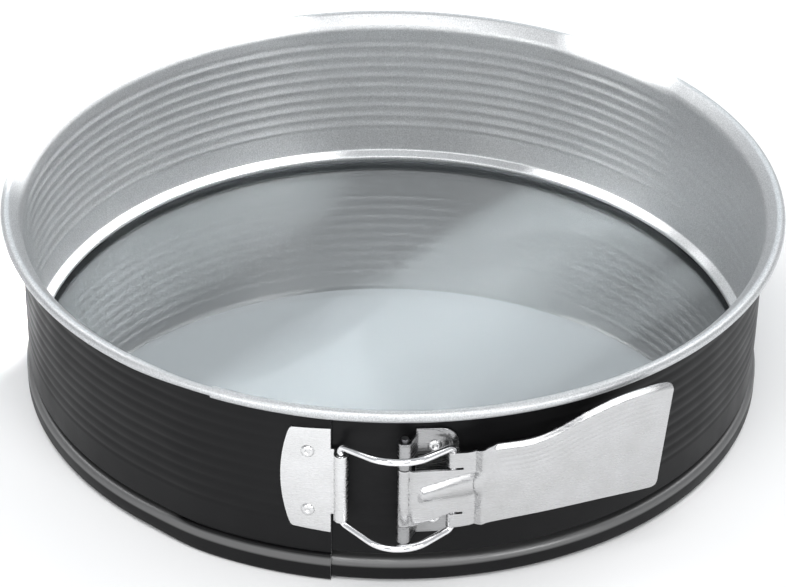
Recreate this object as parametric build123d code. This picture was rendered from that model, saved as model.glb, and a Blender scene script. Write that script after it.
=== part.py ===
"""Springform pan, 26 cm nominal: a steel ring of one overlapped strip, a glass base and a toggle clasp.

Millimetres. +Z is up and the clasp faces -Y. The origin is the centre of the glass base's underside.
Azimuths are in degrees round the pan from the clasp side, positive towards +X, and radii are from the
pan's axis. The real ring is one springy strip. Here it is cut at four flex lines, so that its free ends
can part by the 25 mm that the clasp gives, as rigid pieces on upright hinges.
"""

from build123d import *
import math
import os

# Ring, seen as a section: radii and heights of the middle of the sheet
SHEET = 0.5
WALL_R = 129.75
NEST = SHEET + 0.35              # how far the strip's outer end lies outside its inner end
LIP_R = 126.6                    # lower lip, which carries the glass
LIP_Z = -0.4
BEAD_R = 130.95                  # bead round the glass's edge
BEAD_TOP = 7.65
NOSE_R = 126.5                   # ledge over the glass's edge
NOSE_LOW, NOSE_HIGH = 6.85, 8.35
WALL_FOOT = 9.75
ROLL_AT = (134.5, 67.15)         # centre of the hollow rolled rim
ROLL_R = 1.65
ROLL_SWEEP = 250
FLARE = 45                       # slope between the wall and the roll

# Ring, seen from above: azimuths of its pieces
OUTER_END = -8.1                 # free end that lies outside, with the catch
INNER_END = -24.5                # free end that lies inside, with the lever
SIDE_FLEX = 60
BACK_FLEX = 150
BUTT_GAP = 0.1                   # between neighbouring pieces

# Glass base
GLASS_R = 129.9
GLASS_T = 4.8
GLASS_BEVEL = 0.6
GLASS_REBATE = (126.0, 0.3)      # the underside is ground back outside this radius, to sit on the lip

# Pivots of the clasp: azimuth and radius
PIVOT = (2.0, 135.5)             # lever on its bracket
LEVER_EYE = (8.5, 135.74)        # bail's right leg, in the lever's curled ears
CATCH_SEAT = (-6.55, 134.0)      # bail's left leg, in the catch
RUN_GAP = 0.06                   # radial running clearance

# Plates, rivets and pin
PLATE_T = 0.8
RIVET_R = 1.5
RIVET_HEAD_R = 2.3
RIVET_HEAD_H = 0.9
PIN_R = 1.15
PIN_LOW, PIN_HIGH = 17.8, 59.8

# Catch, riveted outside the ring's outer end
CATCH_AT = -11.5
CATCH_LOW, CATCH_HIGH = 18.4, 59.2
CATCH_LEFT, CATCH_CORNER, CATCH_RIGHT = -8.6, -5.4, 7.75
SEAT_LOW, SEAT_HIGH = 24.5, 53.0
SEAT_RIGHT = -6.0
CATCH_RIVET = -11.35
CATCH_RIVET_Z = (26.6, 49.6)

# Bracket, riveted outside the ring's inner end
BRACKET_LOW, BRACKET_HIGH = 19.1, 59.9
BRACKET_LEFT, BRACKET_RIGHT = 8.2, 21.6
BRACKET_RIVET = 6.2
BRACKET_RIVET_Z = (25.0, 53.2)
KNUCKLE_R = 2.2
UPPER_KNUCKLE = (48.4, 60.5)
LOWER_KNUCKLE = (18.0, 26.0)

# Bail, a bent wire
WIRE_R = 1.2
WIRE_JOIN = 38.9                 # height where its two ends meet, in the left leg
CATCH_ARM = (23.9, 53.9)         # heights of the two arms at the catch, at the bow and at the lever
BOW_ARM = (21.4, 57.0)
EYE_ARM = (23.0, 56.0)
BOW_R = 144.6                    # how far out the arms bow, past the pivot
BOW_LEFT, BOW_RIGHT = -1.0, 3.3  # azimuths of the bow's corners
LEG_BEND = 2.0
BOW_BEND = 6.0

# Lever, one pressed sheet
LEVER_T = 0.8
LEVER_KNUCKLE = (26.3, 48.1)
TONGUE_R = 137.4
JOGGLE = (10.2, 11.7)            # azimuths where the sheet steps outwards
HANDLE_R = 139.7
HANDLE_BEND = 270                # the handle's own curve is flatter than the ring
HANDLE_TANGENT = 18
HANDLE_END = 42
EAR_LOW, EAR_HIGH = 25.3, 54.4   # the ears curl back round the bail above and below the tongue
SLIT_LOW, SLIT_HIGH = 31.0, 48.4
SLIT_END = 23.0
SLIT_WIDTH = 0.7

FAR = 400                        # longer than anything that is cut


def spot(azimuth, radius, z=0.0):
    """Point at an azimuth and radius round the pan's axis."""
    turn = math.radians(azimuth)
    return Vector(radius * math.sin(turn), -radius * math.cos(turn), z)


def outward(azimuth, radius, z):
    """Plane that faces outwards from the ring, x along the ring and y up."""
    turn = math.radians(azimuth)
    return Plane(spot(azimuth, radius, z), x_dir=(math.cos(turn), math.sin(turn), 0), z_dir=spot(azimuth, 1))


def upright(outline, low, high):
    """Outline seen from above, made solid between two heights."""
    return extrude(Plane.XY.offset(low) * outline, high - low)


def rod(centre, radius, low, high):
    """Upright cylinder."""
    return upright(Pos(centre.X, centre.Y) * Circle(radius), low, high)


def curved_plate(inner, outer, outline, azimuth):
    """Plate that follows the ring, with an outline drawn on the tangent plane at an azimuth."""
    ring = rod(Vector(), outer, -FAR, FAR) - rod(Vector(), inner, -FAR, FAR)
    return ring & extrude(outward(azimuth, 0, 0) * outline, FAR)


def beside(pivot, along, out, low, high):
    """Upright bar beside a pivot, given its extents along and out from the ring."""
    plane = Plane(spot(*pivot, low), x_dir=outward(*pivot, 0).x_dir, z_dir=(0, 0, 1))
    width, depth = along[1] - along[0], out[1] - out[0]
    section = Pos(sum(along) / 2, -sum(out) / 2) * Rectangle(width, depth)
    return extrude(plane * section, high - low)


def one_solid(shape):
    """The joined shape as a single solid."""
    return shape.solids()[0] if len(shape.solids()) == 1 else shape


# ---------------------------------------------------------------- ring

def strip_section(nested):
    """Section of the strip: lip, bead, crease, wall, flare and rolled rim."""
    out = NEST if nested else 0
    wall = WALL_R + out
    roll = ROLL_R - out
    turn = math.radians(90 + FLARE)
    flare_top = (ROLL_AT[0] + roll * math.cos(turn), ROLL_AT[1] + roll * math.sin(turn))
    flare_foot = (wall, flare_top[1] - (flare_top[0] - wall) * math.tan(math.radians(FLARE)))
    if nested:
        crease = [(BEAD_R + out, BEAD_TOP + 1.0), (wall - 0.9, BEAD_TOP + 0.8), (wall, BEAD_TOP + 1.65)]
        bends = [1.2, 0.6, 0.3, 0.6, 4.0]
    else:
        crease = [(BEAD_R, BEAD_TOP), (NOSE_R, NOSE_LOW), (NOSE_R, NOSE_HIGH), (wall, WALL_FOOT)]
        bends = [1.2, 1.0, 0.6, 0.6, 0.9, 4.0]
    lip = [(LIP_R, LIP_Z - out), (BEAD_R + out, LIP_Z - out)]
    path = FilletPolyline(*lip, *crease, flare_foot, flare_top, radius=bends)
    curl = CenterArc(ROLL_AT, roll, 90 + FLARE, -ROLL_SWEEP)
    return Plane.XZ * trace([path, curl], SHEET)


def strip(start, end, nested=False):
    """Piece of the ring between two azimuths."""
    trim = math.degrees(BUTT_GAP / 2 / WALL_R)
    section = Rot(0, 0, start + trim - 90) * strip_section(nested)
    return revolve(section, axis=Axis.Z, revolution_arc=end - start - 2 * trim)


def rivet_shank(azimuth, z, inner, outer):
    """Radial cylinder through the sheet and a plate."""
    return extrude(outward(azimuth, inner, z) * Circle(RIVET_R), outer - inner)


def rivet(azimuth, z, inner, face):
    """Rivet with its tail flush inside the wall and a dimpled dome on the plate."""
    seat = outward(azimuth, face, z)
    dome_r = (RIVET_HEAD_R**2 + RIVET_HEAD_H**2) / (2 * RIVET_HEAD_H)
    dome = seat.offset(RIVET_HEAD_H - dome_r) * Sphere(dome_r)
    dome &= extrude(seat * Circle(RIVET_HEAD_R + 1), RIVET_HEAD_H + 1)
    dome -= seat.offset(RIVET_HEAD_H + 0.2) * Sphere(0.8)
    return one_solid(dome + rivet_shank(azimuth, z, inner, face))


OUTER_END_IN = WALL_R + NEST - SHEET / 2     # faces of the wall at the two free ends
OUTER_END_OUT = WALL_R + NEST + SHEET / 2
INNER_END_IN = WALL_R - SHEET / 2
INNER_END_OUT = WALL_R + SHEET / 2


def band_left_front():
    """Outer free end, with the holes for the catch's rivets."""
    piece = strip(-SIDE_FLEX, OUTER_END, nested=True)
    for z in CATCH_RIVET_Z:
        piece -= rivet_shank(CATCH_RIVET, z, OUTER_END_IN - 1, OUTER_END_OUT + 1)
    return piece


def band_right_front():
    """Inner free end, with the holes for the bracket's rivets."""
    piece = strip(INNER_END, SIDE_FLEX)
    for z in BRACKET_RIVET_Z:
        piece -= rivet_shank(BRACKET_RIVET, z, INNER_END_IN - 1, INNER_END_OUT + 1)
    return piece


def rivets(azimuth, heights, inner, face):
    """Row of identical rivets, one above the other."""
    return Compound(children=[rivet(azimuth, z, inner, face) for z in heights])


# ---------------------------------------------------------------- glass base

def glass_base():
    """Flat tempered-glass disc with bevelled edges and a shallow rebate under its rim."""
    inner, depth = GLASS_REBATE
    rim = chamfer(rod(Vector(), GLASS_R, depth, GLASS_T).edges(), GLASS_BEVEL)
    return rim + rod(Vector(), inner, 0, GLASS_T / 2)


# ---------------------------------------------------------------- clasp

def catch_plate():
    """D-shaped plate with a bent seat, open outwards, for the bail's left leg."""
    middle = (CATCH_LOW + CATCH_HIGH) / 2
    top = Line((CATCH_RIGHT, CATCH_HIGH), (CATCH_CORNER, CATCH_HIGH - 1))
    bulge = ThreePointArc(top @ 1, (CATCH_LEFT, middle), (CATCH_CORNER, CATCH_LOW + 1))
    foot = Polyline(bulge @ 1, (CATCH_RIGHT, CATCH_LOW), top @ 0)
    outline = make_face([top, bulge, foot])
    outline = fillet(outline.vertices().sort_by(Axis.X)[:2], 2.0)
    face = OUTER_END_OUT + PLATE_T
    plate = curved_plate(OUTER_END_OUT, face, outline, CATCH_AT)
    tab_left, tab_right = (face * math.sin(math.radians(a - CATCH_AT)) for a in (OUTER_END - 1, SEAT_RIGHT))
    tab = Pos((tab_left + tab_right) / 2, (SEAT_LOW + SEAT_HIGH) / 2)
    tab *= Rectangle(tab_right - tab_left, SEAT_HIGH - SEAT_LOW)
    plate += curved_plate(OUTER_END_OUT, face, tab, CATCH_AT)
    side = WIRE_R + 0.4
    floor = face - CATCH_SEAT[1] - PLATE_T / 2
    plate += beside(CATCH_SEAT, (-side - PLATE_T, -side), (floor, 0.8), SEAT_LOW, SEAT_HIGH)
    for z in CATCH_RIVET_Z:
        plate -= rivet_shank(CATCH_RIVET, z, OUTER_END_OUT - 1, face + 1)
    return one_solid(plate)


def lever_bracket():
    """Plate with two knuckles that carry the pin, each on a web."""
    points = [(BRACKET_LEFT, BRACKET_LOW), (BRACKET_RIGHT - 3, BRACKET_LOW), (BRACKET_RIGHT, BRACKET_LOW + 6)]
    points += [(BRACKET_RIGHT, BRACKET_HIGH), (BRACKET_LEFT, BRACKET_HIGH)]
    outline = make_face(Polyline(*points, close=True))
    outline = fillet(outline.vertices().sort_by(Axis.X)[2:], 2.5)
    plate = curved_plate(INNER_END_OUT, INNER_END_OUT + PLATE_T, outline, 0)
    centre = spot(*PIVOT)
    foot = spot(math.degrees(BRACKET_LEFT / INNER_END_OUT) + 0.2, INNER_END_OUT + PLATE_T / 2)
    start = centre + outward(*PIVOT, 0).x_dir * (KNUCKLE_R - PLATE_T / 2)
    web = trace(Line(start, foot), PLATE_T)
    for low, high in (LOWER_KNUCKLE, UPPER_KNUCKLE):
        knuckle = rod(centre, KNUCKLE_R, low, high) + upright(web, low, min(high, BRACKET_HIGH))
        plate += knuckle - rod(centre, PIN_R, low, high)
    for z in BRACKET_RIVET_Z:
        plate -= rivet_shank(BRACKET_RIVET, z, INNER_END_OUT - 1, INNER_END_OUT + PLATE_T + 1)
    return one_solid(plate)


def pivot_pin():
    """Pin of the lever."""
    return rod(spot(*PIVOT), PIN_R, PIN_LOW, PIN_HIGH)


def bail_wire():
    """Wire loop with two upright legs and two arms that bow out round the pivot."""
    def point(place, z):
        return spot(*place, z)
    bow_left, bow_right = (BOW_LEFT, BOW_R), (BOW_RIGHT, BOW_R)
    points = [point(CATCH_SEAT, WIRE_JOIN + 0.2), point(CATCH_SEAT, CATCH_ARM[1])]
    points += [point(bow_left, BOW_ARM[1]), point(bow_right, BOW_ARM[1]), point(LEVER_EYE, EYE_ARM[1])]
    points += [point(LEVER_EYE, EYE_ARM[0]), point(bow_right, BOW_ARM[0]), point(bow_left, BOW_ARM[0])]
    points += [point(CATCH_SEAT, CATCH_ARM[0]), point(CATCH_SEAT, WIRE_JOIN - 0.2)]
    bends = [LEG_BEND, BOW_BEND, BOW_BEND, LEG_BEND]
    path = FilletPolyline(*points, radius=bends * 2)
    return sweep(Plane(path @ 0, z_dir=path % 0) * Circle(WIRE_R), path)


def handle_radius(azimuth):
    """Distance from the pan's axis to the handle's curve."""
    back = HANDLE_BEND - HANDLE_R
    turn = math.radians(azimuth - HANDLE_TANGENT)
    return math.sqrt(HANDLE_BEND**2 - (back * math.sin(turn)) ** 2) - back * math.cos(turn)


def lever_plan():
    """Lever seen from above: tongue, joggle and handle as one bent sheet."""
    root = spot(PIVOT[0], PIVOT[1] + KNUCKLE_R - LEVER_T / 2)
    start, tip = (spot(a, handle_radius(a)) for a in (JOGGLE[1], HANDLE_END))
    middle = (JOGGLE[1] + HANDLE_END) / 2
    bend = FilletPolyline(root, spot(JOGGLE[0], TONGUE_R), start, spot(JOGGLE[1] + 4, handle_radius(JOGGLE[1] + 4)),
                          radius=1.0)
    curve = ThreePointArc(bend @ 1, spot(middle, handle_radius(middle)), tip)
    return trace([bend, curve], LEVER_T)


def lever_outline():
    """Lever seen from the front: tapered tongue, two ears, and a handle that widens to its end."""
    low, high = LEVER_KNUCKLE
    pivot, ear = spot(*PIVOT).X, spot(*LEVER_EYE).X
    foot = Polyline((pivot, high), (pivot, low), (ear, SLIT_LOW), (ear, EAR_LOW),
                    (27, 26.6), (30.5, 28.2), (53, 28.8), (85.6, 27.4), (89.6, 66.4))
    crest = Spline(foot @ 1, (83.6, 67.0), (72.6, 66.3), (62.2, 63.4), (52.8, 59.6), (44.7, 57.7), (31, 57.4))
    head = Polyline(crest @ 1, (28, 55.4), (25, EAR_HIGH), (ear, EAR_HIGH), (ear, high), foot @ 0)
    outline = make_face([foot, crest, head])
    return fillet(outline.vertices().sort_by(Axis.X)[-2:], 2.0)


def lever():
    """Pressed lever: knuckle, tongue, handle and the two ears curled back round the bail's right leg."""
    sheet = upright(lever_plan(), 0, FAR) & extrude(outward(0, 0, 0) * lever_outline(), FAR)
    centre, eye = spot(*PIVOT), spot(*LEVER_EYE)
    for z in (SLIT_LOW, SLIT_HIGH):
        slit = Pos((eye.X - 2 + SLIT_END) / 2, z) * Rectangle(SLIT_END - eye.X + 2, SLIT_WIDTH)
        sheet -= extrude(outward(0, 0, 0) * slit, FAR)
    sheet += rod(centre, KNUCKLE_R, *LEVER_KNUCKLE)
    for low, high in ((EAR_LOW, SLIT_LOW - SLIT_WIDTH / 2), (SLIT_HIGH + SLIT_WIDTH / 2, EAR_HIGH)):
        sheet += rod(eye, TONGUE_R + LEVER_T / 2 - LEVER_EYE[1], low, high)
    sheet -= rod(centre, PIN_R + RUN_GAP, 0, FAR)
    sheet -= rod(eye, WIRE_R + RUN_GAP, 0, FAR)
    return one_solid(sheet)


NODES = {
    "glass_base": glass_base(),
    "band_back": strip(BACK_FLEX, 360 - BACK_FLEX),
    "band_left_side": strip(-BACK_FLEX, -SIDE_FLEX),
    "band_right_side": strip(SIDE_FLEX, BACK_FLEX),
    "band_left_front": band_left_front(),
    "band_right_front": band_right_front(),
    "catch_plate": catch_plate(),
    "catch_rivets": rivets(CATCH_RIVET, CATCH_RIVET_Z, OUTER_END_IN, OUTER_END_OUT + PLATE_T),
    "lever_bracket": lever_bracket(),
    "bracket_rivets": rivets(BRACKET_RIVET, BRACKET_RIVET_Z, INNER_END_IN, INNER_END_OUT + PLATE_T),
    "pivot_pin": pivot_pin(),
    "bail_wire": bail_wire(),
    "lever": lever(),
}

os.makedirs("parts", exist_ok=True)
for name, shape in NODES.items():
    export_step(shape, f"parts/{name}.step")
    print(f"{name}: {len(shape.solids())} solid(s), {shape.volume:.1f} mm3, valid {shape.is_valid}")
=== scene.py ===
"""Looks of the springform pan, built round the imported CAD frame.

Lengths are in millimetres until a mesh is made. Azimuths are in degrees round the pan from the clasp side,
positive towards +X, and radii are from the pan's axis. A column is a plan point with two heights.
"""

import math

import bmesh
import bpy
from mathutils import Matrix, Vector


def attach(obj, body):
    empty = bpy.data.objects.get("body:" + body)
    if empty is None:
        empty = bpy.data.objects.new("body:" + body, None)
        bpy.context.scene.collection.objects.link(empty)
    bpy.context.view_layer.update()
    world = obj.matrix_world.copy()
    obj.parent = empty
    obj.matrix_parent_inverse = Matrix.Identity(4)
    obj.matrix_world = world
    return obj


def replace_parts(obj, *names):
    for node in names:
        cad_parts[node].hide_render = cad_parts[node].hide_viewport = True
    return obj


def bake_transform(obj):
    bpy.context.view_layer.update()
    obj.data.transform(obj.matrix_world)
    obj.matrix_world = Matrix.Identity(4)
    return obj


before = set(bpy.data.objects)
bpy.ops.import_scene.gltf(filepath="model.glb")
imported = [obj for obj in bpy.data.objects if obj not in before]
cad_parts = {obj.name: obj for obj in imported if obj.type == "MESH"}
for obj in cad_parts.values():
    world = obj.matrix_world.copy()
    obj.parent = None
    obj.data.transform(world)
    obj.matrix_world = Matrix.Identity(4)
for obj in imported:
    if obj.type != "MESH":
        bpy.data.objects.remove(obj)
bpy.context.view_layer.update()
MM = 0.001
BUMP = 0.2 * MM                  # height of the materials' fine bumps
FLOOR_Z = -1.55
BEAM_HEIGHT = 0.16               # metres, of the lamps close above the glass

# Ring: the middle of the sheet, as a section
SHEET = 0.5
WALL_R = 129.75
NEST = 0.85                      # how far the strip's outer end lies outside its inner end
LIP_R, LIP_Z = 126.6, -0.4
BEAD_R, BEAD_TOP = 130.95, 7.65
NOSE_R, NOSE_LOW, NOSE_HIGH = 126.5, 6.85, 8.35
WALL_FOOT = 9.75
ROLL_AT = (134.5, 67.15)
ROLL_R = 1.65
ROLL_NEST = 0.52                 # how much thinner the outer end's roll is, inside the other
ROLL_SWEEP = 250
OUTER_END, INNER_END = -8.1, -24.5
NEST_FROM, NEST_TO = -38, -27    # the strip eases outwards between these azimuths

# Ribs rolled into the wall
RIB_PITCH = 4.4
RIB_LOW, RIB_HIGH = 19.0, 60.5
RIB_DEPTH = 0.11
WALL_ROWS = 120

# Clasp
PIVOT = (2.0, 135.5)
LEVER_EYE = (8.5, 135.74)
CATCH_SEAT = (-6.55, 134.0)
PLATE_T = 0.8
WIRE_R = 1.2
KNUCKLE_R = 2.2
CATCH_FACE = WALL_R + NEST + SHEET / 2
BRACKET_FACE = WALL_R + SHEET / 2


# ---------------------------------------------------------------- geometry helpers

def plan(azimuth, radius):
    """Plan point at an azimuth and radius."""
    turn = math.radians(azimuth)
    return (radius * math.sin(turn), -radius * math.cos(turn))


def ease(x, start, end):
    """Smooth step from 0 at start to 1 at end."""
    t = min(max((x - start) / (end - start), 0.0), 1.0)
    return t * t * (3 - 2 * t)


def mix(a, b, t):
    """Value between a and b."""
    return a + (b - a) * t


def spread(start, end, count):
    """Evenly spaced numbers, both ends included."""
    return [mix(start, end, i / count) for i in range(count + 1)]


def round_path(corners, radii, steps=6):
    """Polyline with each inner corner replaced by an arc. Works in any number of dimensions."""
    corners = [Vector(c) for c in corners]
    path = [corners[0]]
    for before, corner, after, radius in zip(corners, corners[1:], corners[2:], radii):
        back, on = (before - corner), (after - corner)
        reach = min(back.length, on.length) * 0.48
        back.normalize()
        on.normalize()
        half = back.angle(on) / 2
        cut = min(radius / math.tan(half), reach)
        centre = corner + (back + on).normalized() * (cut / math.cos(half))
        start, end = corner + back * cut - centre, corner + on * cut - centre
        sweep = start.angle(end)
        for t in spread(0, 1, steps):
            a, b = math.sin((1 - t) * sweep), math.sin(t * sweep)
            path.append(centre + (start * a + end * b) / math.sin(sweep))
    return path + [corners[-1]]


def new_object(name, points, faces, materials, slots=None, sharp=40):
    """Mesh object from points in millimetres, smooth but for edges sharper than an angle."""
    mesh = bpy.data.meshes.new(name)
    mesh.from_pydata([Vector(p) * MM for p in points], [], faces)
    for material in materials:
        mesh.materials.append(material)
    if slots:
        mesh.polygons.foreach_set("material_index", slots)
    tool = bmesh.new()
    tool.from_mesh(mesh)
    bmesh.ops.remove_doubles(tool, verts=tool.verts, dist=1e-7)
    bmesh.ops.recalc_face_normals(tool, faces=tool.faces)
    tool.to_mesh(mesh)
    tool.free()
    mesh.shade_smooth()
    mesh.set_sharp_from_angle(angle=math.radians(sharp))
    made = bpy.data.objects.new(name, mesh)
    bpy.context.scene.collection.objects.link(made)
    return made


def patch(columns, rows, relief=None, slide=None):
    """Grid of points between the low and high ends of upright columns, and its faces.

    Columns run so that the outside is on their right. The relief moves points outwards, and slide moves
    them along the columns.
    """
    points, faces = [], []
    for i, (x, y, low, high) in enumerate(columns):
        before, after = columns[max(i - 1, 0)], columns[min(i + 1, len(columns) - 1)]
        along = Vector((after[0] - before[0], after[1] - before[1])).normalized()
        for z in spread(low, high, rows):
            lift = relief(x, z) if relief else 0.0
            shift = slide(x, z) if slide else 0.0
            points.append((x + along.y * lift + along.x * shift, y - along.x * lift + along.y * shift, z))
    for i in range(len(columns) - 1):
        for k in range(rows):
            a = i * (rows + 1) + k
            faces.append((a, a + rows + 1, a + rows + 2, a + 1))
    return points, faces


def join_patches(patches):
    """All the points and faces of several patches."""
    points, faces = [], []
    for some_points, some_faces in patches:
        faces += [tuple(i + len(points) for i in face) for face in some_faces]
        points += some_points
    return points, faces


def sheet_metal(name, patches, thickness, materials, bevel=0.2):
    """Patches joined where they meet, thickened and with their cut edges eased."""
    made = new_object(name, *join_patches(patches), materials)
    solid = made.modifiers.new("thickness", "SOLIDIFY")
    solid.thickness = thickness * MM
    solid.offset = 0
    solid.use_even_offset = True
    edge = made.modifiers.new("edge", "BEVEL")
    edge.width = bevel * MM
    edge.segments = 2
    edge.limit_method = "ANGLE"
    edge.angle_limit = math.radians(60)
    return made


def lathe(profile, place, steps=36):
    """Points and faces of a profile of (radius, height) turned round a frame's z axis."""
    points, faces = [], []
    for i in range(steps):
        turn = 2 * math.pi * i / steps
        for radius, height in profile:
            points.append(place @ Vector((radius * math.cos(turn), radius * math.sin(turn), height)))
    count = len(profile)
    for i in range(steps):
        for k in range(count - 1):
            a, b = i * count + k, (i + 1) % steps * count + k
            faces.append((a, b, b + 1, a + 1))
    return points, faces


def outward_frame(azimuth, radius, z):
    """Frame in millimetres whose z axis points out from the ring."""
    turn = math.radians(azimuth)
    out = Vector((math.sin(turn), -math.cos(turn), 0))
    along = Vector((math.cos(turn), math.sin(turn), 0))
    place = Matrix((along, Vector((0, 0, 1)), out)).transposed().to_4x4()
    place.translation = out * radius + Vector((0, 0, z))
    return place


def curl(centre, radius, start, end, low, high, steps=22):
    """Columns of a roll round an upright axis. Angles in degrees: 0 along the ring, 90 outwards."""
    azimuth, distance = centre
    turn = math.radians(azimuth)
    cx, cy = plan(azimuth, distance)
    columns = []
    for angle in spread(start, end, steps):
        a = math.radians(angle)
        along, out = radius * math.cos(a), radius * math.sin(a)
        x = cx + along * math.cos(turn) + out * math.sin(turn)
        y = cy + along * math.sin(turn) - out * math.cos(turn)
        columns.append((x, y, low, high))
    return columns


# ---------------------------------------------------------------- materials

def new_material(name, **values):
    """Principled material with the given socket values. Returns the material, its tree and its shader."""
    material = bpy.data.materials.new(name)
    material.use_nodes = True
    tree = material.node_tree
    shader = tree.nodes["Principled BSDF"]
    for socket, value in values.items():
        shader.inputs[socket.replace("_", " ")].default_value = value
    return material, tree, shader


def grain(tree, scale, stretch=(1, 1, 1), detail=3.0):
    """Noise over the object, in features per metre, stretched along its axes."""
    where = tree.nodes.new("ShaderNodeTexCoord")
    mapping = tree.nodes.new("ShaderNodeMapping")
    mapping.inputs["Scale"].default_value = stretch
    noise = tree.nodes.new("ShaderNodeTexNoise")
    noise.inputs["Scale"].default_value = scale
    noise.inputs["Detail"].default_value = detail
    tree.links.new(where.outputs["Object"], mapping.inputs["Vector"])
    tree.links.new(mapping.outputs["Vector"], noise.inputs["Vector"])
    return noise.outputs["Fac"]


def ranged(tree, source, low, high, start=0.3, end=0.7):
    """Noise remapped to a range."""
    node = tree.nodes.new("ShaderNodeMapRange")
    for socket, value in (("From Min", start), ("From Max", end), ("To Min", low), ("To Max", high)):
        node.inputs[socket].default_value = value
    tree.links.new(source, node.inputs["Value"])
    return node.outputs["Result"]


def tinted(tree, source, dark, light, start=0.3, end=0.7):
    """Noise turned into a colour between two."""
    ramp = tree.nodes.new("ShaderNodeValToRGB")
    for element, position, colour in zip(ramp.color_ramp.elements, (start, end), (dark, light)):
        element.position = position
        element.color = (*colour, 1)
    tree.links.new(source, ramp.inputs["Fac"])
    return ramp.outputs["Color"]


def bumped(tree, shader, sources, distance):
    """Chain of bumps from (height, strength) pairs into the shader's normal."""
    normal = None
    for height, strength in sources:
        bump = tree.nodes.new("ShaderNodeBump")
        bump.inputs["Strength"].default_value = strength
        bump.inputs["Distance"].default_value = distance
        tree.links.new(height, bump.inputs["Height"])
        if normal:
            tree.links.new(normal, bump.inputs["Normal"])
        normal = bump.outputs["Normal"]
    tree.links.new(normal, shader.inputs["Normal"])


def height_band(tree, low, high, soft):
    """Factor that is 1 between two heights of the object, in millimetres, and fades over a soft edge."""
    where = tree.nodes.new("ShaderNodeTexCoord")
    split = tree.nodes.new("ShaderNodeSeparateXYZ")
    tree.links.new(where.outputs["Object"], split.inputs["Vector"])
    rise = ranged(tree, split.outputs["Z"], 0, 1, (low - soft) * MM, low * MM)
    fall = ranged(tree, split.outputs["Z"], 1, 0, high * MM, (high + soft) * MM)
    both = tree.nodes.new("ShaderNodeMath")
    both.operation = "MULTIPLY"
    tree.links.new(rise, both.inputs[0])
    tree.links.new(fall, both.inputs[1])
    return both.outputs["Value"]


def black_coating():
    """Satin black enamel with a fine orange peel and faint scuffs, and a lighter, more metallic band along
    the bead's shoulder: partly wear, partly a painted highlight.
    """
    material, tree, shader = new_material("black_coating", Specular_IOR_Level=0.14)
    tone = tinted(tree, grain(tree, 35, detail=5), (0.0055, 0.0055, 0.006), (0.0085, 0.0085, 0.009))
    # Band by height along the bead's shoulder, lighter and metallic: partly wear from handling, partly a
    # painted highlight.
    wear_and_painted_sheen = height_band(tree, 5.4, 7.4, 0.9)
    blend = tree.nodes.new("ShaderNodeMix")
    blend.data_type = "RGBA"
    tree.links.new(wear_and_painted_sheen, blend.inputs["Factor"])
    tree.links.new(tone, blend.inputs["A"])
    blend.inputs["B"].default_value = (0.17, 0.17, 0.17, 1)
    tree.links.new(blend.outputs["Result"], shader.inputs["Base Color"])
    tree.links.new(ranged(tree, wear_and_painted_sheen, 0, 0.75, 0, 1), shader.inputs["Metallic"])
    tree.links.new(ranged(tree, grain(tree, 60, detail=6), 0.36, 0.48), shader.inputs["Roughness"])
    bumped(tree, shader, [(grain(tree, 1800), 0.12), (grain(tree, 260), 0.05)], BUMP)
    return material


def silver_coating():
    """Silver-grey non-stick coating with metal flakes."""
    material, tree, shader = new_material("silver_coating", Metallic=0.85)
    tone = tinted(tree, grain(tree, 2600, detail=2), (0.45, 0.46, 0.467), (0.67, 0.68, 0.687), 0.35, 0.68)
    tree.links.new(tone, shader.inputs["Base Color"])
    tree.links.new(ranged(tree, grain(tree, 900, detail=4), 0.36, 0.52), shader.inputs["Roughness"])
    bumped(tree, shader, [(grain(tree, 1900, detail=2), 0.22), (grain(tree, 90), 0.05)], BUMP)
    return material


def tinned_steel(name, tone, wear):
    """Satin sheet with rolling grain along its length and faint wear."""
    material, tree, shader = new_material(name, Metallic=1.0)
    tone = tinted(tree, grain(tree, 120, detail=5), (tone - wear,) * 3, (tone, tone, tone + 0.006))
    tree.links.new(tone, shader.inputs["Base Color"])
    lines = grain(tree, 700, stretch=(0.12, 0.12, 2.4), detail=4)
    tree.links.new(ranged(tree, lines, 0.20, 0.34), shader.inputs["Roughness"])
    bumped(tree, shader, [(lines, 0.03), (grain(tree, 160), 0.03)], BUMP)
    return material


def bright_wire():
    """Polished wire with a faint unevenness."""
    material, tree, shader = new_material("bright_wire", Metallic=1.0)
    tone = tinted(tree, grain(tree, 300, detail=4), (0.84, 0.84, 0.85), (0.92, 0.92, 0.93))
    tree.links.new(tone, shader.inputs["Base Color"])
    tree.links.new(ranged(tree, grain(tree, 500, detail=5), 0.08, 0.20), shader.inputs["Roughness"])
    bumped(tree, shader, [(grain(tree, 900), 0.04)], BUMP)
    return material


def dark_steel():
    """Plain steel of the pin."""
    material, tree, shader = new_material("dark_steel", Metallic=1.0)
    tone = tinted(tree, grain(tree, 500, detail=4), (0.16, 0.16, 0.17), (0.34, 0.34, 0.35))
    tree.links.new(tone, shader.inputs["Base Color"])
    tree.links.new(ranged(tree, grain(tree, 900), 0.3, 0.5), shader.inputs["Roughness"])
    bumped(tree, shader, [(grain(tree, 1200), 0.15)], BUMP)
    return material


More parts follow.
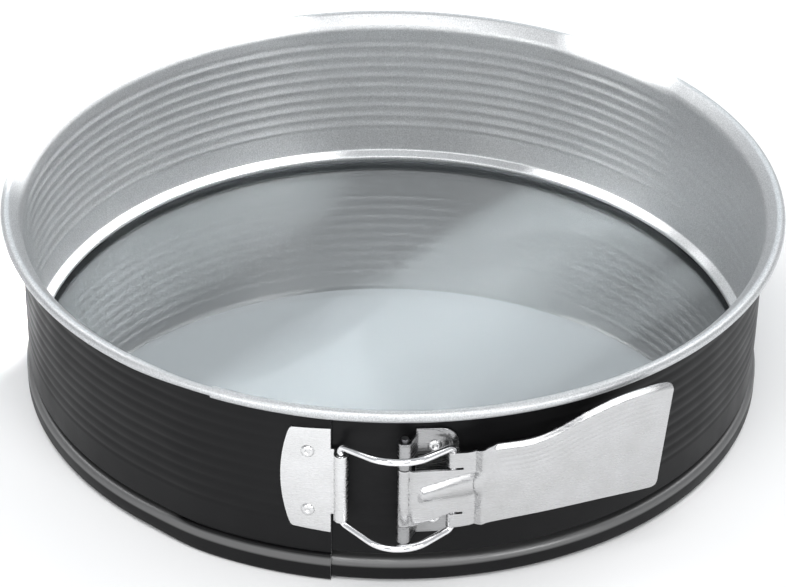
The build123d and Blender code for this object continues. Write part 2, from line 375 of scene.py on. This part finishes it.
def clear_glass():
    """Tempered glass with a grey tint. Lamps shine through it, dimmed."""
    material, tree, shader = new_material("clear_glass", Transmission_Weight=1.0, IOR=1.8)
    shader.inputs["Base Color"].default_value = (0.30, 0.314, 0.32, 1)
    tree.links.new(ranged(tree, grain(tree, 45, detail=5), 0.0, 0.035), shader.inputs["Roughness"])
    bumped(tree, shader, [(grain(tree, 14, detail=1), 0.02)], 2.5 * BUMP)
    see = tree.nodes.new("ShaderNodeBsdfTransparent")
    see.inputs["Color"].default_value = (0.66, 0.68, 0.69, 1)
    ray = tree.nodes.new("ShaderNodeLightPath")
    both = tree.nodes.new("ShaderNodeMixShader")
    tree.links.new(ray.outputs["Is Shadow Ray"], both.inputs["Fac"])
    tree.links.new(shader.outputs["BSDF"], both.inputs[1])
    tree.links.new(see.outputs["BSDF"], both.inputs[2])
    tree.links.new(both.outputs["Shader"], tree.nodes["Material Output"].inputs["Surface"])
    return material


BLACK = black_coating()
SILVER = silver_coating()
TIN = tinned_steel("tinned_steel", 0.77, 0.06)
# The handle and bracket are the catch's tinned steel at darker tones: painted shade standing for the darker
# reflections and shade they carry.
HANDLE_TIN_PAINTED_SHADE = tinned_steel("handle_tin_painted_shade", 0.56, 0.05)
BRACKET_TIN_PAINTED_SHADE = tinned_steel("bracket_tin_painted_shade", 0.40, 0.08)
WIRE = bright_wire()
PIN = dark_steel()
GLASS = clear_glass()


# ---------------------------------------------------------------- ring

def section(nest):
    """Middle of the sheet from lip to roll, as (radius, height). nest is 1 where it lies outside."""
    out = NEST * nest
    wall = WALL_R + out
    roll = ROLL_R - ROLL_NEST * nest
    turn = math.radians(135)
    top = Vector((ROLL_AT[0] + roll * math.cos(turn), ROLL_AT[1] + roll * math.sin(turn)))
    foot = Vector((wall, top.y - (top.x - wall)))
    plain = [(BEAD_R, BEAD_TOP), (NOSE_R, NOSE_LOW), (NOSE_R, NOSE_HIGH), (WALL_R, WALL_FOOT)]
    outer = [(BEAD_R + NEST, BEAD_TOP + 1.0), (WALL_R - 0.05, BEAD_TOP + 0.8),
             (WALL_R - 0.05, BEAD_TOP + 1.1), (WALL_R + NEST, BEAD_TOP + 1.65)]
    crease = [Vector(a).lerp(Vector(b), nest) for a, b in zip(plain, outer)]
    lip = [Vector((LIP_R, LIP_Z - out)), Vector((BEAD_R + out, LIP_Z - out))]
    bends = [1.2, 2.3, mix(0.6, 0.2, nest), mix(0.6, 0.2, nest), mix(0.9, 0.6, nest), 4.0]
    path = round_path(lip + crease + [foot, top], bends)
    start, end = path[-9], path[-8]
    wall_points = [start.lerp(end, t) for t in spread(0, 1, WALL_ROWS)]
    arc = [Vector((ROLL_AT[0] + roll * math.cos(turn - math.radians(a)),
                   ROLL_AT[1] + roll * math.sin(turn - math.radians(a)))) for a in spread(0, ROLL_SWEEP, 30)]
    return path[:-9] + wall_points + path[-7:-1] + arc


def rib(z):
    """Depth of the ribs at a height: broad ridges between narrow grooves."""
    fade = ease(z, RIB_LOW, RIB_LOW + 2) * (1 - ease(z, RIB_HIGH - 2, RIB_HIGH))
    wave = math.cos(2 * math.pi * (z - RIB_LOW) / RIB_PITCH)
    return RIB_DEPTH * fade * (wave - 0.35 * wave * wave)


def nest_at(azimuth):
    """How far the strip lies outside at an azimuth, from 0 to 1."""
    return ease(azimuth, NEST_FROM, NEST_TO)


def rib_strength(azimuth):
    """The ribs are flattened where the clasp's plates are riveted on."""
    return mix(0.25, 1.0, ease(abs(azimuth - 3), 14, 38))


def ring_part(name, start, end, nests=False):
    """Closed piece of the strip between two azimuths, black outside and silver inside."""
    points, faces, slots = [], [], []
    steps = math.ceil(abs(end - start) / 0.9)
    plain = section(0)
    for azimuth in spread(start, end, steps):
        middle = section(nest_at(azimuth)) if nests else plain
        strength = rib_strength(azimuth)
        middle = [Vector((p.x + rib(p.y) * strength * (p.x < WALL_R + 2), p.y)) for p in middle]
        last = len(middle) - 1
        sides = ([], [])
        for i, p in enumerate(middle):
            along = (middle[min(i + 1, last)] - middle[max(i - 1, 0)]).normalized()
            across = Vector((along.y, -along.x)) * SHEET / 2
            sides[0].append(p + across)
            sides[1].append(p - across)
        points += [(*plan(azimuth, p.x), p.y) for p in sides[0] + sides[1][::-1]]
    count = last + 1
    for step in range(steps):
        for k in range(2 * count):
            a, b = step * 2 * count + k, step * 2 * count + (k + 1) % (2 * count)
            faces.append((a, b, b + 2 * count, a + 2 * count))
            slots.append(0 if k < last else 1)
    for base in (0, steps * 2 * count):
        for k in range(last):
            far = base + 2 * count - 1 - k
            faces.append((base + k, base + k + 1, far - 1, far))
            slots.append(1)
    made = new_object(name, points, faces, [BLACK, SILVER], slots)
    return made


def bend_ring(piece, a, b, start, end, *nodes):
    """The ring piece is baked in place and stands for the CAD's rigid pieces, which it hides."""
    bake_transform(piece)
    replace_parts(piece, *nodes)


bend_ring(ring_part("ring_back_left", -180, -105), "base", "left_side", -165, -135,
          "band_back", "band_left_side")
bend_ring(ring_part("ring_back_right", 105, 180), "base", "right_side", 165, 135,
          "band_back", "band_right_side")
bend_ring(ring_part("ring_outer_end", -105, OUTER_END, nests=True), "left_side", "left_end", -80, -42,
          "band_left_side", "band_left_front")
bend_ring(ring_part("ring_inner_end", INNER_END, 105), "right_side", "right_end", 80, 42,
          "band_right_side", "band_right_front")


# ---------------------------------------------------------------- glass base and pin

for node, material in (("glass_base", GLASS), ("pivot_pin", PIN)):
    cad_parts[node].data.materials.clear()
    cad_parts[node].data.materials.append(material)


# ---------------------------------------------------------------- catch

CATCH_AT = -11.5
CATCH_Z = (18.4, 59.2)
CATCH_LEFT, CATCH_CORNER, CATCH_RIGHT = -8.6, -5.4, 7.75
SEAT_Z = (25.9, 51.5)
CATCH_RIVET, CATCH_RIVET_Z = -11.35, (26.6, 49.6)
BRACKET_RIVET, BRACKET_RIVET_Z = 6.2, (25.0, 53.2)


def soft_least(a, b, sharpness=1.3):
    """The smaller of two numbers, with a rounded change-over."""
    return -math.log(math.exp(-sharpness * a) + math.exp(-sharpness * b)) / sharpness


def catch_half_height(x):
    """Half the catch plate's height at a distance along it."""
    rise = CATCH_CORNER - CATCH_LEFT
    half = (CATCH_Z[1] - CATCH_Z[0]) / 2
    corner = half - 1
    bulge = (corner**2 + rise**2) / (2 * rise)
    reach = min(x - CATCH_LEFT, bulge)
    arc = math.sqrt(bulge**2 - (bulge - reach) ** 2)
    slope = corner + (x - CATCH_CORNER) / (CATCH_RIGHT - CATCH_CORNER)
    return max(soft_least(arc, slope), 0.05)


def catch_plate():
    """D-shaped plate whose right edge rolls round the bail's left leg."""
    middle = (CATCH_Z[0] + CATCH_Z[1]) / 2
    radius = CATCH_FACE + PLATE_T / 2
    xs = [CATCH_LEFT + 0.02 + 3.6 * t * t for t in spread(0, 1, 14)]
    xs += spread(CATCH_LEFT + 4.1, CATCH_RIGHT, 14)
    columns = []
    for x in xs:
        azimuth = CATCH_AT + math.degrees(math.asin(x / radius))
        half = catch_half_height(x)
        columns.append((*plan(azimuth, radius), middle - half, middle + half))
    plate = patch(columns, 30)
    last = CATCH_AT + math.degrees(math.asin(CATCH_RIGHT / radius))
    roll = curl(CATCH_SEAT, 1.9, 185, -70, *SEAT_Z, steps=26)
    start, knee = plan(last, radius), plan(CATCH_SEAT[0] - 0.88, radius + 0.05)
    neck = round_path([(*start, 0), (*knee, 0), (roll[0][0], roll[0][1], 0)], [0.9], steps=5)
    neck = [(p.x, p.y, *SEAT_Z) for p in neck[:-1]]
    return sheet_metal("catch", [plate, patch(neck + roll, 24)], PLATE_T, [TIN])


def rivets(name, azimuth, heights, inner, face):
    """Domed heads with a dimple, and flat tails inside the wall."""
    head = [(0, 0.1), (0.3, 0.14), (0.55, 0.5), (0.85, 0.84), (1.2, 0.92), (1.7, 0.76), (2.1, 0.42),
            (2.3, 0.0), (2.2, -0.25), (0, -0.25)]
    tail = [(0, 0.4), (1.5, 0.4), (1.9, 0.2), (1.95, -0.05), (1.75, -0.18), (0, -0.18)]
    sides = ((head, face), (tail, inner))
    turned = [lathe(profile, outward_frame(azimuth, radius, z)) for z in heights for profile, radius in sides]
    return new_object(name, *join_patches(turned), [TIN])


catch = catch_plate()
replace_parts(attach(catch, "left_end"), "catch_plate")
heads = rivets("catch_rivet_heads", CATCH_RIVET, CATCH_RIVET_Z, CATCH_FACE - SHEET, CATCH_FACE + PLATE_T)
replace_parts(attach(heads, "left_end"), "catch_rivets")


# ---------------------------------------------------------------- bracket

BRACKET_Z = (19.1, 59.9)
BRACKET_X = (8.2, 21.6)
UPPER_KNUCKLE, LOWER_KNUCKLE = (48.4, 58.4), (19.6, 26.0)


def bracket_relief(x, z):
    """Raised rim at the plate's far upper corner."""
    corner = math.hypot(max(x - (BRACKET_X[1] - 6), 0), max(z - (BRACKET_Z[1] - 6), 0))
    return 0.7 * ease(corner, 3.2, 4.2) * (1 - 0.6 * ease(corner, 4.8, 5.6)) * ease(x, 13, 17)


def bracket_high(x):
    """Upper edge of the plate, rounded at its far corner."""
    over = max(x - (BRACKET_X[1] - 6), 0)
    return BRACKET_Z[1] - 6 + math.sqrt(max(36 - over * over, 0.3))


def bracket_low(x):
    """Lower edge of the plate, cut back at its far corner."""
    return BRACKET_Z[0] + 2 * max(x - (BRACKET_X[1] - 3), 0)


def knuckle(low, high):
    """Columns of the web from the plate and its roll round the pin."""
    radius = BRACKET_FACE + PLATE_T / 2
    roll = curl(PIVOT, KNUCKLE_R - PLATE_T / 2, 0, 318, low, high, steps=28)
    first = plan(math.degrees(BRACKET_X[0] / radius) + 0.2, radius)
    near = roll[0]
    web = [(mix(first[0], near[0], t), mix(first[1], near[1], t), low, high) for t in spread(0, 1, 4)[:-1]]
    return patch((web + roll)[::-1], 12)


def lever_bracket():
    """Plate on the ring's inner end with two rolled knuckles."""
    radius = BRACKET_FACE + PLATE_T / 2
    columns = []
    for x in spread(BRACKET_X[0], BRACKET_X[1] - 6, 8) + spread(BRACKET_X[1] - 6, BRACKET_X[1], 16)[1:]:
        y = -math.sqrt(radius**2 - x * x)
        columns.append((x, y, bracket_low(x), bracket_high(x)))
    plate = patch(columns, 44, bracket_relief)
    knuckles = [knuckle(*UPPER_KNUCKLE), knuckle(*LOWER_KNUCKLE)]
    return sheet_metal("bracket", [plate] + knuckles, PLATE_T, [BRACKET_TIN_PAINTED_SHADE], bevel=0.15)


bracket = lever_bracket()
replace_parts(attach(bracket, "right_end"), "lever_bracket")
heads = rivets("bracket_rivet_heads", BRACKET_RIVET, BRACKET_RIVET_Z, BRACKET_FACE - SHEET,
               BRACKET_FACE + PLATE_T)
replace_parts(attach(heads, "right_end"), "bracket_rivets")


# ---------------------------------------------------------------- bail

CATCH_ARM, BOW_ARM, EYE_ARM = (24.9, 54.6), (23.2, 57.0), (24.0, 56.0)
BOW_R, BOW_LEFT, BOW_RIGHT = 144.6, -1.0, 3.3


def bail():
    """Closed wire loop: two upright legs and two arms that bow out past the pivot."""
    def point(azimuth, radius, z):
        return (*plan(azimuth, radius), z)
    corners = [point(*CATCH_SEAT, 38.9), point(*CATCH_SEAT, CATCH_ARM[1])]
    corners += [point(BOW_LEFT, BOW_R, BOW_ARM[1]), point(BOW_RIGHT, BOW_R, BOW_ARM[1])]
    corners += [point(*LEVER_EYE, EYE_ARM[1]), point(*LEVER_EYE, EYE_ARM[0])]
    corners += [point(BOW_RIGHT, BOW_R, BOW_ARM[0]), point(BOW_LEFT, BOW_R, BOW_ARM[0])]
    corners += [point(*CATCH_SEAT, CATCH_ARM[0]), point(*CATCH_SEAT, 38.9)]
    path = round_path(corners, [2.6, 14.0, 14.0, 2.6] * 2, steps=14)[:-1]
    curve = bpy.data.curves.new("bail_path", "CURVE")
    curve.dimensions = "3D"
    curve.bevel_depth = WIRE_R * MM
    curve.bevel_resolution = 6
    line = curve.splines.new("POLY")
    line.points.add(len(path) - 1)
    for target, p in zip(line.points, path):
        target.co = (*(p * MM), 1)
    line.use_cyclic_u = True
    holder = bpy.data.objects.new("bail_path", curve)
    bpy.context.scene.collection.objects.link(holder)
    bpy.context.view_layer.update()
    mesh = bpy.data.meshes.new_from_object(holder.evaluated_get(bpy.context.evaluated_depsgraph_get()))
    bpy.data.objects.remove(holder)
    mesh.materials.clear()
    mesh.materials.append(WIRE)
    mesh.shade_smooth()
    made = bpy.data.objects.new("bail", mesh)
    bpy.context.scene.collection.objects.link(made)
    return made


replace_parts(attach(bail(), "bail"), "bail_wire")


# ---------------------------------------------------------------- lever

LEVER_Z = (26.3, 48.1)
TONGUE_R = 137.4
JOGGLE = (11.35, 12.15)
HANDLE_R, HANDLE_BEND, HANDLE_TANGENT = 139.7, 270, 18
HANDLE_START, LEVER_TIP = 31, 89.6
TIP_LOW, TIP_HIGH = 27.4, 66.4
TIP_SETBACK, TIP_CORNER = 4.0, 2.0
SLIT_LOW, SLIT_HIGH, SLIT_WIDTH, SLIT_END = 31.0, 48.4, 0.85, 23.2
ROLL_START = 42                  # angle at which the tongue leaves its roll round the pin
EYE_X = plan(*LEVER_EYE)[0]


def handle_radius(azimuth):
    """Distance from the pan's axis to the handle's curve."""
    back = HANDLE_BEND - HANDLE_R
    turn = math.radians(azimuth - HANDLE_TANGENT)
    return math.sqrt(HANDLE_BEND**2 - (back * math.sin(turn)) ** 2) - back * math.cos(turn)


def lever_line():
    """Plan points along the flat tongue, the joggle and the curved handle."""
    root = curl(PIVOT, KNUCKLE_R - PLATE_T / 2, ROLL_START, ROLL_START, 0, 0, steps=1)[0][:2]
    handle = [plan(a, handle_radius(a)) for a in spread(JOGGLE[1], 44, 60)]
    neck = plan(PIVOT[0] + 1.15, TONGUE_R)
    corners = [root, neck, plan(JOGGLE[0], TONGUE_R), handle[0], handle[6]]
    bends = round_path(corners, [0.3, 0.6, 0.8], steps=8)
    return bends + [Vector(p) for p in handle[7:]]


LEVER_LINE = lever_line()


def lever_y(x):
    """Plan position of the lever's sheet at a distance to the right."""
    for a, b in zip(LEVER_LINE, LEVER_LINE[1:]):
        if a.x <= x <= b.x:
            return mix(a.y, b.y, (x - a.x) / (b.x - a.x))
    return LEVER_LINE[-1].y


def follow(points, x):
    """Smooth curve through points of growing x."""
    for i in range(len(points) - 1):
        (x0, z0), (x1, z1) = points[i], points[i + 1]
        if x <= x1 or i == len(points) - 2:
            before, after = points[max(i - 1, 0)], points[min(i + 2, len(points) - 1)]
            m0 = (z1 - before[1]) / (x1 - before[0])
            m1 = (after[1] - z0) / (after[0] - x0)
            t, w = (x - x0) / (x1 - x0), x1 - x0
            return ((2 * t**3 - 3 * t**2 + 1) * z0 + (t**3 - 2 * t**2 + t) * w * m0
                    + (3 * t**2 - 2 * t**3) * z1 + (t**3 - t**2) * w * m1)
    return points[-1][1]


CREST = [(20.0, 54.4), (25.0, 54.5), (28.0, 55.4), (31.0, 57.5), (44.7, 57.6), (52.8, 59.6), (62.2, 63.5),
         (72.6, 66.3), (83.6, 67.0), (89.6, 66.4)]
SOLE = [(20.0, 25.3), (25.0, 25.9), (28.0, 26.8), (31.0, 28.2), (53.0, 28.8), (70.0, 28.6), (89.6, 27.4)]


def tip_slant(x, z):
    """The handle's end slants: its foot is set back."""
    return -TIP_SETBACK * (TIP_HIGH - z) / (TIP_HIGH - TIP_LOW) * ease(x, 58, LEVER_TIP)


def tip_round(x):
    """How much the corners of the handle's end are cut away."""
    over = max(x - (LEVER_TIP - TIP_CORNER), 0)
    return TIP_CORNER - math.sqrt(max(TIP_CORNER**2 - over * over, 0))


def lever_relief(x, z):
    """Pressed shape: a bead along the tongue, and the handle's faint lines and turned-back upper edge."""
    line = mix(38.9, 43.2, (x - 9) / 20)
    width = mix(3.0, 4.6, ease(x, 9, 26))
    across = min(abs(z - line) / width, 1.0)
    bead = math.cos(across * math.pi / 2) ** 1.1
    step = 2.2 * (1 - ease(x, 27.6, 30.6)) * ease(x, 26.8, 28.2)
    bead *= 1.5 * ease(x, 8.8, 10.4) * (1 - ease(x, 25, 31)) + step * 0.5
    if x < HANDLE_START:
        return bead
    below = follow(CREST, x) - z
    lines = math.cos(2 * math.pi * below / 1.9) * ease(below, 3.4, 4.4) * (1 - ease(below, 11.5, 13.5))
    turned_edge = 1.1 * (1 - ease(below, 0, 3.0)) ** 2
    lines *= ease(x, 33, 36) * ease(LEVER_TIP - x, 2, 5)
    turned_edge *= ease(x, HANDLE_START, 34)
    return bead + 0.05 * lines - turned_edge


def lever_columns(xs, low, high):
    """Columns along the lever's line, between two edges given as functions of x."""
    return [(x, lever_y(x), low(x), high(x)) for x in xs]


def lever():
    """Lever of one pressed sheet: knuckle, tongue with its bead, two curled ears and the handle."""
    half = SLIT_WIDTH / 2
    root = LEVER_LINE[0].x
    tongue_xs = spread(root, root + 2, 8) + spread(root + 2, EYE_X, 26)[1:]
    ear_xs = spread(EYE_X, SLIT_END, 6)
    fold_xs = spread(SLIT_END, 26.6, 6)[1:] + spread(26.6, 30.2, 22)[1:] + [HANDLE_START]
    handle_xs = spread(HANDLE_START, LEVER_TIP, 90)[1:-3]
    handle_xs += [LEVER_TIP - 1.2, LEVER_TIP - 0.6, LEVER_TIP - 0.25, LEVER_TIP]
    after = ear_xs + fold_xs + handle_xs
    beyond = ear_xs[-1:] + fold_xs + handle_xs

    def tongue_low(x):
        return mix(LEVER_Z[0], SLIT_LOW + half, min((x - root) / (EYE_X - root), 1))

    def tongue_high(x):
        return mix(LEVER_Z[1], SLIT_HIGH - half, min((x - root) / (EYE_X - root), 1))

    def face(xs, low, high, rows):
        return patch(lever_columns(xs, low, high), rows, lever_relief, tip_slant)

    roll = curl(PIVOT, KNUCKLE_R - PLATE_T / 2, 380, ROLL_START, *LEVER_Z, steps=34)
    tongue = face(tongue_xs + after[1:], tongue_low, tongue_high, 28)
    patches = [tongue, patch(roll, 28)]
    patches.append(face(beyond, lambda x: SLIT_LOW - half, tongue_low, 1))
    patches.append(face(beyond, tongue_high, lambda x: SLIT_HIGH + half, 1))
    eye = 2.06 - PLATE_T / 2
    for low, high, rows in ((lambda x: follow(SOLE, x) + tip_round(x), lambda x: SLIT_LOW - half, 8),
                            (lambda x: SLIT_HIGH + half, lambda x: follow(CREST, x) - tip_round(x), 40)):
        turned = curl(LEVER_EYE, eye, 400, 92, low(EYE_X), high(EYE_X), steps=24)
        patches += [patch(turned, rows), face(after, low, high, rows)]
    return sheet_metal("lever_sheet", patches, PLATE_T, [HANDLE_TIN_PAINTED_SHADE], bevel=0.18)


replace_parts(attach(lever(), "lever_arm"), "lever")


# ---------------------------------------------------------------- camera, floor and lights

def add_camera():
    """Camera from the clasp side, 34.5 degrees above the floor."""
    rise, roll, distance = math.radians(34.52), 0.014, 1000
    ahead = Vector((0, math.cos(rise), -math.sin(rise)))
    up = Vector((0, math.sin(rise), math.cos(rise)))
    right = Vector((1, 0, 0))
    across = right * math.cos(roll) + up * math.sin(roll)
    above = up * math.cos(roll) - right * math.sin(roll)
    data = bpy.data.cameras.new("camera")
    data.sensor_width = 36
    data.lens = 125.48
    data.shift_x = 0.00265
    data.shift_y = 0.0916
    data.clip_end = 100
    camera = bpy.data.objects.new("camera", data)
    camera.matrix_world = Matrix((across, above, -ahead)).transposed().to_4x4()
    camera.location = (Vector((0, 0, -6.05)) - ahead * distance) * MM
    bpy.context.scene.collection.objects.link(camera)
    bpy.context.scene.camera = camera


def add_light(name, location, target, size, power, colour=(1, 1, 1), spread_deg=180):
    """Rectangular lamp in metres and watts, aimed at a point."""
    data = bpy.data.lights.new(name, "AREA")
    data.shape = "RECTANGLE"
    data.size, data.size_y = size
    data.energy = power
    data.color = colour
    data.spread = math.radians(spread_deg)
    lamp = bpy.data.objects.new(name, data)
    lamp.location = location
    lamp.rotation_euler = (Vector(target) - Vector(location)).to_track_quat("-Z", "Y").to_euler()
    bpy.context.scene.collection.objects.link(lamp)
    return lamp


def add_beam(name, centre, turn, size, power, spread_deg):
    """Lamp close above the pan that shines straight down over a point in millimetres, turned in plan."""
    x, y = centre[0] * MM, centre[1] * MM
    lamp = add_light(name, (x, y, BEAM_HEIGHT), (x, y, 0), size, power, spread_deg=spread_deg)
    lamp.rotation_euler = (0, 0, math.radians(turn))


def add_floor():
    """Plain pale floor."""
    material, _, shader = new_material("floor", Roughness=0.9, Specular_IOR_Level=0.0)
    shader.inputs["Base Color"].default_value = (0.90, 0.90, 0.90, 1)
    mesh = bpy.data.meshes.new("floor")
    corners = [(-6, -6), (6, -6), (6, 6), (-6, 6)]
    mesh.from_pydata([(x, y, FLOOR_Z * MM) for x, y in corners], [], [(0, 1, 2, 3)])
    mesh.materials.append(material)
    floor = bpy.data.objects.new("floor", mesh)
    bpy.context.scene.collection.objects.link(floor)


def add_world():
    """Even pale surroundings."""
    world = bpy.data.worlds.new("studio")
    world.use_nodes = True
    backdrop = world.node_tree.nodes["Background"]
    backdrop.inputs["Color"].default_value = (0.95, 0.97, 1.0, 1)
    backdrop.inputs["Strength"].default_value = 0.55
    bpy.context.scene.world = world


add_camera()
add_floor()
add_world()
add_light("back_box", (0.0, 1.5, 1.1), (0, 0, 0.03), (1.9, 0.65), 6, (0.86, 0.95, 1.0))
add_light("back_left_box", (-0.95, 0.55, 1.25), (0, 0, 0.03), (0.8, 0.6), 5)
add_light("back_right_box", (0.95, 0.55, 1.25), (0, 0, 0.03), (0.8, 0.6), 6)
add_light("front_box", (0.0, -0.8, 1.35), (0, 0, 0.03), (1.0, 0.6), 9)
add_light("low_front_box", (0.0, -2.0, 0.75), (0, 0, 0.03), (0.7, 0.5), 4)
add_light("left_front_box", (-1.25, -1.6, 0.8), (0, 0, 0.03), (0.9, 0.6), 11)
add_light("right_front_box", (1.25, -1.6, 0.8), (0, 0, 0.03), (0.9, 0.6), 11)
add_beam("broad_beam", (33, 37), 50, (0.24, 0.034), 0.5, 18)
add_beam("thin_beam", (66, 5), 46, (0.13, 0.009), 0.05, 8)
add_beam("left_beam", (-102, 74), 50, (0.15, 0.05), 0.32, 20)
bpy.context.scene.view_settings.view_transform = "Standard"
